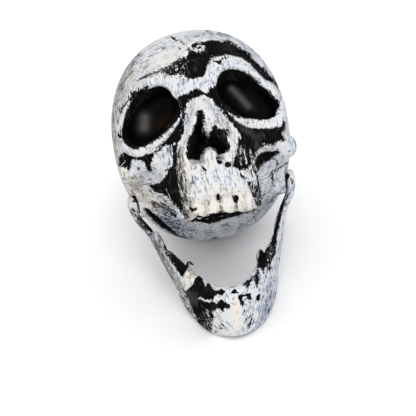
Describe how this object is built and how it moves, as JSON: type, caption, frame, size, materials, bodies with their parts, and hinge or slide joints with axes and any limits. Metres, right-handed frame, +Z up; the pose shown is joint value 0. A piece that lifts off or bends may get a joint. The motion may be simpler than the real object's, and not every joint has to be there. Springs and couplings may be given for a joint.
{
  "type": "skull decoration",
  "caption": "Hollow plastic human skull for Halloween, black with dry-brushed white paint, lying back with its hinged lower jaw wide open.",
  "frame": {"origin": "on the table, under the centre of the whole decoration's box as it lies with the jaw open", "axes": "+X towards the skull's side that is on the right of the picture, +Z up, -Y from the middle of the decoration towards the chin"},
  "size_m": [0.1296, 0.2262, 0.1642],
  "materials": {
    "painted_shell": "black plastic under uneven dry-brushed white paint",
    "gloss_black": "bare glossy black plastic",
    "washer_black": "bare black nylon",
    "nut_steel": "plain spring steel"
  },
  "bodies": {
    "cranium": {"face_shell": "painted_shell", "rear_shell": "painted_shell", "eye_cup_left": "gloss_black", "eye_cup_right": "gloss_black", "hinge_pin_left": "gloss_black", "hinge_pin_right": "gloss_black", "friction_washer_left": "washer_black", "friction_washer_right": "washer_black", "push_nut_left": "nut_steel", "push_nut_right": "nut_steel"},
    "jaw": {"jaw": "painted_shell"}
  },
  "joints": [
    {"name": "jaw_hinge", "type": "hinge", "parent": "cranium", "child": "jaw", "pos_m": [0, -0.0132, 0.0595], "axis": [1, 0, 0], "range_deg": [-31, 0]}
  ]
}
